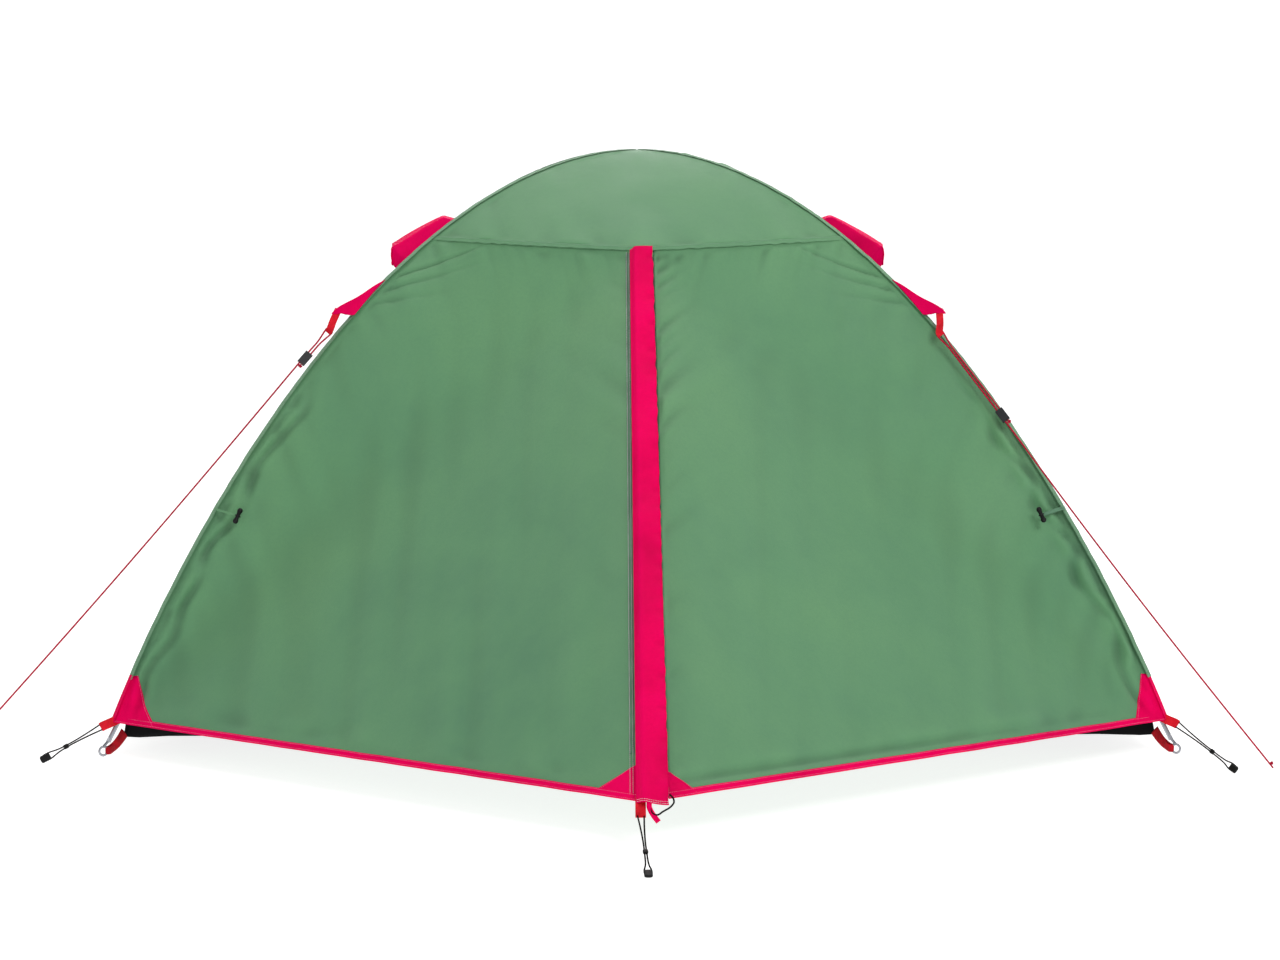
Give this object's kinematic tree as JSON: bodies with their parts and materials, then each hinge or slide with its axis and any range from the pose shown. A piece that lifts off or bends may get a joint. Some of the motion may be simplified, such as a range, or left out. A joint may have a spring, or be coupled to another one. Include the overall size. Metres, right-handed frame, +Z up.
{
  "type": "dome tent on poles",
  "caption": "Two-pole dome tent with a green flysheet, pink trim, zipped vestibules, side vent hoods, guy lines and an inner tent with a tray floor.",
  "frame": {"origin": "on the ground plane, under the crossing of the two poles, at the middle of the floor", "axes": "+Z up; +X along the sleeping length, to the right when facing the front vestibule; -Y towards the front vestibule"},
  "size_m": [2.5867, 3.3458, 1.1947],
  "materials": {
    "fly_green": "coated polyester taffeta",
    "trim_pink": "coated polyester taffeta",
    "webbing_red": "woven webbing",
    "floor_black": "woven polyethylene tarpaulin",
    "inner_grey": "breathable polyester",
    "pole_alloy": "anodised tube",
    "pin_steel": "zinc plated wire",
    "zip_metal": "die cast",
    "shock_cord": "braided elastic",
    "guy_red": "braided cord",
    "moulded_black": "moulded",
    "elastic_black": "braided elastic"
  },
  "bodies": {
    "root": {"front_brow_panel": "fly_green", "rear_brow_panel": "fly_green", "left_side_panel": "fly_green", "right_side_panel": "fly_green", "front_left_panel": "fly_green", "front_right_panel": "fly_green", "rear_right_panel": "fly_green", "rear_left_panel": "fly_green", "guy_gusset_front_left": "trim_pink", "guy_gusset_front_right": "trim_pink", "pole_a_section_1": "pole_alloy", "pole_a_section_2": "pole_alloy", "pole_a_section_3": "pole_alloy", "pole_a_section_4": "pole_alloy", "pole_a_section_5": "pole_alloy", "pole_a_section_6": "pole_alloy", "pole_a_section_7": "pole_alloy", "pole_a_shock_cord": "shock_cord", "pole_b_section_1": "pole_alloy", "pole_b_section_2": "pole_alloy", "pole_b_section_3": "pole_alloy", "pole_b_section_4": "pole_alloy", "pole_b_section_5": "pole_alloy", "pole_b_section_6": "pole_alloy", "pole_b_section_7": "pole_alloy", "pole_b_shock_cord": "shock_cord", "corner_pin_front_left": "pin_steel", "corner_pin_front_right": "pin_steel", "corner_pin_rear_right": "pin_steel", "corner_pin_rear_left": "pin_steel", "floor_strap_front_left": "webbing_red", "floor_strap_front_right": "webbing_red", "floor_strap_rear_right": "webbing_red", "floor_strap_rear_left": "webbing_red", "floor_tray": "floor_black", "inner_canopy": "inner_grey", "guy_line_front_left": "guy_red", "guy_line_front_right": "guy_red", "peg_elastic_front_left": "elastic_black", "peg_elastic_front_right": "elastic_black", "peg_elastic_rear_right": "elastic_black", "peg_elastic_rear_left": "elastic_black"},
    "front_left_door": {"front_left_door": "fly_green", "peg_elastic_front_centre": "elastic_black"},
    "front_right_door": {"front_right_door": "fly_green"},
    "rear_right_door": {"rear_right_door": "fly_green", "peg_elastic_rear_centre": "elastic_black"},
    "rear_left_door": {"rear_left_door": "fly_green"},
    "front_storm_flap": {"front_storm_flap": "trim_pink"},
    "rear_storm_flap": {"rear_storm_flap": "trim_pink"},
    "front_zip_slider": {"front_zip_slider": "zip_metal"},
    "rear_zip_slider": {"rear_zip_slider": "zip_metal"},
    "left_vent_hood": {"left_vent_hood": "trim_pink"},
    "right_vent_hood": {"right_vent_hood": "trim_pink"},
    "inner_front_door": {"inner_front_door": "inner_grey"},
    "inner_rear_door": {"inner_rear_door": "inner_grey"},
    "guy_slider_front_left": {"guy_slider_front_left": "moulded_black"},
    "guy_slider_front_right": {"guy_slider_front_right": "moulded_black"},
    "front_left_toggle": {"front_left_toggle": "moulded_black"},
    "front_right_toggle": {"front_right_toggle": "moulded_black"}
  },
  "joints": [
    {"name": "front_left_door_swing", "type": "hinge", "parent": "root", "child": "front_left_door", "pos_m": [0, -0.47, 1], "axis": [-0.7387, -0.1618, -0.6543], "range_deg": [0, 95]},
    {"name": "front_right_door_swing", "type": "hinge", "parent": "root", "child": "front_right_door", "pos_m": [0, -0.47, 1], "axis": [-0.7387, 0.1618, 0.6543], "range_deg": [0, 95]},
    {"name": "rear_right_door_swing", "type": "hinge", "parent": "root", "child": "rear_right_door", "pos_m": [0, 0.47, 1], "axis": [0.7387, 0.1618, -0.6543], "range_deg": [0, 95]},
    {"name": "rear_left_door_swing", "type": "hinge", "parent": "root", "child": "rear_left_door", "pos_m": [0, 0.47, 1], "axis": [0.7387, -0.1618, 0.6543], "range_deg": [0, 95]},
    {"name": "front_storm_flap_fold", "type": "hinge", "parent": "front_left_door", "child": "front_storm_flap", "pos_m": [-0.018, -0.97385, 0.54952], "axis": [0.003, -0.7325, -0.6807], "range_deg": [0, 120]},
    {"name": "rear_storm_flap_fold", "type": "hinge", "parent": "rear_right_door", "child": "rear_storm_flap", "pos_m": [0.018, 0.97385, 0.54952], "axis": [-0.003, 0.7325, -0.6807], "range_deg": [0, 120]},
    {"name": "front_zip_travel", "type": "slide", "parent": "front_left_door", "child": "front_zip_slider", "axis": [0, 0.7325, 0.6807], "range_m": [0, 1.24]},
    {"name": "rear_zip_travel", "type": "slide", "parent": "rear_right_door", "child": "rear_zip_slider", "axis": [0, -0.7325, 0.6807], "range_m": [0, 1.24]},
    {"name": "left_vent_hood_tilt", "type": "hinge", "parent": "root", "child": "left_vent_hood", "pos_m": [-0.4015, 0, 1.0615], "axis": [0, 1, 0], "range_deg": [-6, 5]},
    {"name": "right_vent_hood_tilt", "type": "hinge", "parent": "root", "child": "right_vent_hood", "pos_m": [0.4015, 0, 1.0615], "axis": [0, -1, 0], "range_deg": [-6, 5]},
    {"name": "inner_front_door_swing", "type": "hinge", "parent": "root", "child": "inner_front_door", "pos_m": [-0.326, -0.499, 0.4675], "axis": [0, 0.3513, 0.9363], "range_deg": [0, 42]},
    {"name": "inner_rear_door_swing", "type": "hinge", "parent": "root", "child": "inner_rear_door", "pos_m": [0.326, 0.499, 0.4675], "axis": [0, -0.3513, 0.9363], "range_deg": [0, 42]},
    {"name": "guy_slider_front_left_travel", "type": "slide", "parent": "root", "child": "guy_slider_front_left", "axis": [0.6045, 0.3857, 0.697], "range_m": [0, 0.028]},
    {"name": "guy_slider_front_right_travel", "type": "slide", "parent": "root", "child": "guy_slider_front_right", "axis": [-0.5583, 0.3662, 0.7445], "range_m": [0, 0.16]},
    {"name": "front_left_toggle_swing", "type": "hinge", "parent": "root", "child": "front_left_toggle", "pos_m": [-0.86095, -0.57663, 0.48129], "axis": [-0.3676, -0.371, -0.8528], "range_deg": [0, 50]},
    {"name": "front_right_toggle_swing", "type": "hinge", "parent": "root", "child": "front_right_toggle", "pos_m": [0.86095, -0.57663, 0.48129], "axis": [-0.3676, 0.371, 0.8528], "range_deg": [0, 50]}
  ]
}
